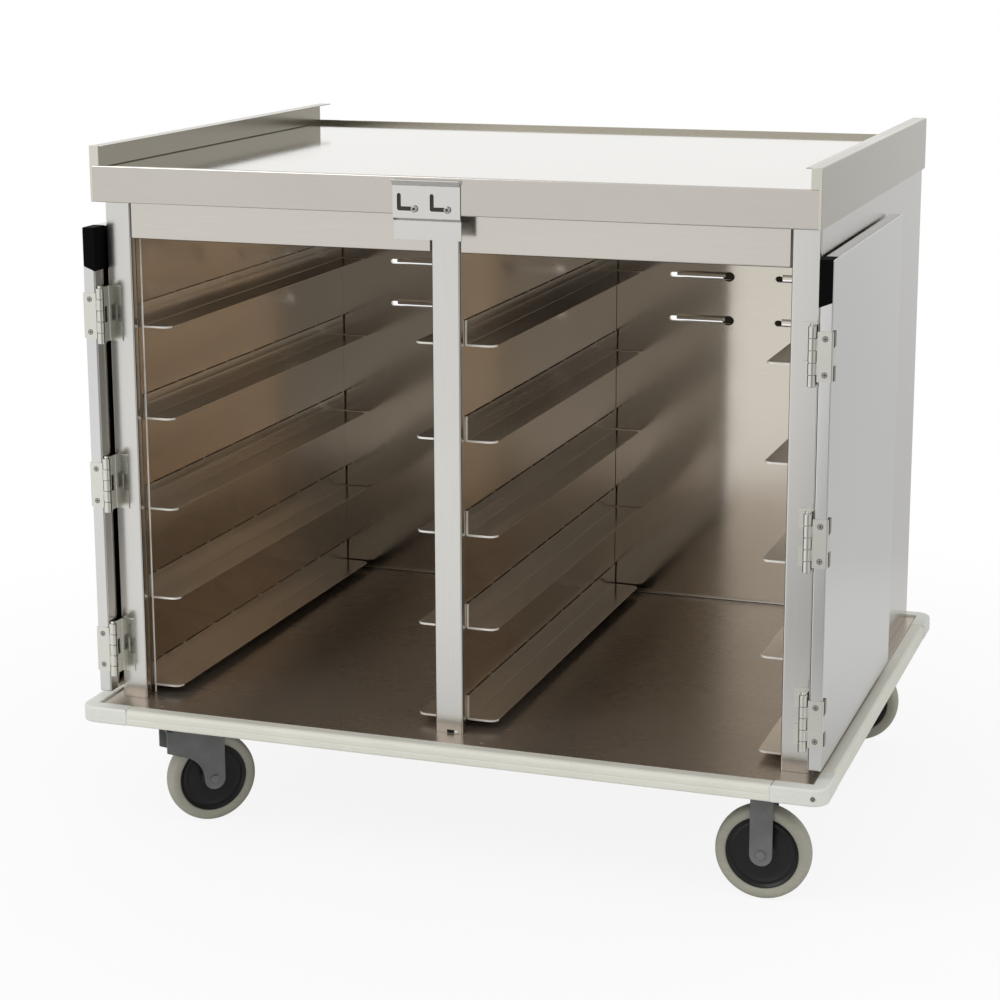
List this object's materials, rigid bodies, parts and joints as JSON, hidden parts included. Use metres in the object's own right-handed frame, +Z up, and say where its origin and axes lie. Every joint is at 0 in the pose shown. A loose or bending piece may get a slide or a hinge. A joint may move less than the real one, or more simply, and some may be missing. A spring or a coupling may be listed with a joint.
{
  "type": "meal tray cart",
  "caption": "Low enclosed meal tray cart of folded stainless sheet: bays of tray slides behind doors that fold back, a railed top, and a bumpered platform on casters.",
  "frame": {"origin": "on the floor under the middle of the bumper's outline", "axes": "+Z up, +X to the right seen from the door side, +Y from the doors to the back"},
  "size_m": [1.247, 0.981, 1.14],
  "materials": {
    "brushed_stainless": "brushed sheet with fine grain",
    "polished_stainless": "bright, nearly mirror polished sheet",
    "slide_stainless": "mill finish sheet with a soft sheen",
    "door_stainless": "brushed sheet with vertical grain",
    "hinge_stainless": "tumbled stainless steel",
    "cream_vinyl": "soft satin vinyl",
    "pale_moulding": "satin moulded plastic",
    "zinc_steel": "dull grey zinc plating",
    "grey_tread": "matt grey tread on a black moulded centre"
  },
  "bodies": {
    "root": {"platform": "brushed_stainless", "bumper_front": "cream_vinyl", "bumper_back": "cream_vinyl", "bumper_left": "cream_vinyl", "bumper_right": "cream_vinyl", "bumper_corner_back_right": "pale_moulding", "bumper_corner_back_left": "pale_moulding", "bumper_corner_front_right": "pale_moulding", "bumper_corner_front_left": "pale_moulding", "side_panel_left": "brushed_stainless", "side_panel_right": "brushed_stainless", "centre_partition": "brushed_stainless", "back_panel": "brushed_stainless", "header_panel": "brushed_stainless", "top_panel": "polished_stainless", "slide_left_bay_1_left": "slide_stainless", "slide_left_bay_1_right": "slide_stainless", "slide_left_bay_2_left": "slide_stainless", "slide_left_bay_2_right": "slide_stainless", "slide_left_bay_3_left": "slide_stainless", "slide_left_bay_3_right": "slide_stainless", "slide_left_bay_4_left": "slide_stainless", "slide_left_bay_4_right": "slide_stainless", "slide_left_bay_5_left": "slide_stainless", "slide_left_bay_5_right": "slide_stainless", "slide_right_bay_1_left": "slide_stainless", "slide_right_bay_1_right": "slide_stainless", "slide_right_bay_2_left": "slide_stainless", "slide_right_bay_2_right": "slide_stainless", "slide_right_bay_3_left": "slide_stainless", "slide_right_bay_3_right": "slide_stainless", "slide_right_bay_4_left": "slide_stainless", "slide_right_bay_4_right": "slide_stainless", "slide_right_bay_5_left": "slide_stainless", "slide_right_bay_5_right": "slide_stainless", "hinge_bracket_right_bottom": "hinge_stainless", "hinge_bracket_right_middle": "hinge_stainless", "hinge_bracket_right_top": "hinge_stainless", "hinge_bracket_left_bottom": "hinge_stainless", "hinge_bracket_left_middle": "hinge_stainless", "hinge_bracket_left_top": "hinge_stainless", "caster_plate_front_left": "zinc_steel", "rigid_fork_front_right": "zinc_steel", "caster_plate_rear_left": "zinc_steel", "rigid_fork_rear_right": "zinc_steel"},
    "door_left": {"door_left": "door_stainless", "hinge_leaf_left_bottom": "hinge_stainless", "hinge_leaf_left_middle": "hinge_stainless", "hinge_leaf_left_top": "hinge_stainless"},
    "door_right": {"door_right": "door_stainless", "hinge_leaf_right_bottom": "hinge_stainless", "hinge_leaf_right_middle": "hinge_stainless", "hinge_leaf_right_top": "hinge_stainless"},
    "latch": {"latch_plate": "brushed_stainless"},
    "swivel_front": {"swivel_fork_front_left": "zinc_steel"},
    "swivel_rear": {"swivel_fork_rear_left": "zinc_steel"},
    "wheel_front_left": {"wheel_front_left": "grey_tread"},
    "wheel_rear_left": {"wheel_rear_left": "grey_tread"},
    "wheel_front_right": {"wheel_front_right": "grey_tread"},
    "wheel_rear_right": {"wheel_rear_right": "grey_tread"}
  },
  "joints": [
    {"name": "door_left_swing", "type": "hinge", "parent": "root", "child": "door_left", "pos_m": [-0.576, -0.449, 0.6], "axis": [0, 0, 1], "range_deg": [0, 270]},
    {"name": "door_right_swing", "type": "hinge", "parent": "root", "child": "door_right", "pos_m": [0.576, -0.449, 0.6], "axis": [0, 0, 1], "range_deg": [-270, 0]},
    {"name": "latch_slide", "type": "slide", "parent": "root", "child": "latch", "axis": [1, 0, 0], "range_m": [0, 0.025]},
    {"name": "swivel_front", "type": "hinge", "parent": "root", "child": "swivel_front", "pos_m": [-0.478, -0.385, 0.18], "axis": [0, 0, 1], "continuous": true},
    {"name": "swivel_rear", "type": "hinge", "parent": "root", "child": "swivel_rear", "pos_m": [-0.478, 0.385, 0.18], "axis": [0, 0, 1], "continuous": true},
    {"name": "wheel_front_left_spin", "type": "hinge", "parent": "swivel_front", "child": "wheel_front_left", "pos_m": [-0.45113, -0.35813, 0.07583], "axis": [-0.7071, 0.7071, 0], "continuous": true},
    {"name": "wheel_rear_left_spin", "type": "hinge", "parent": "swivel_rear", "child": "wheel_rear_left", "pos_m": [-0.44509, 0.404, 0.07583], "axis": [-0.5, 0.866, 0], "continuous": true},
    {"name": "wheel_front_right_spin", "type": "hinge", "parent": "root", "child": "wheel_front_right", "pos_m": [0.507, -0.385, 0.07583], "axis": [0, 1, 0], "continuous": true},
    {"name": "wheel_rear_right_spin", "type": "hinge", "parent": "root", "child": "wheel_rear_right", "pos_m": [0.507, 0.385, 0.07583], "axis": [0, 1, 0], "continuous": true}
  ]
}
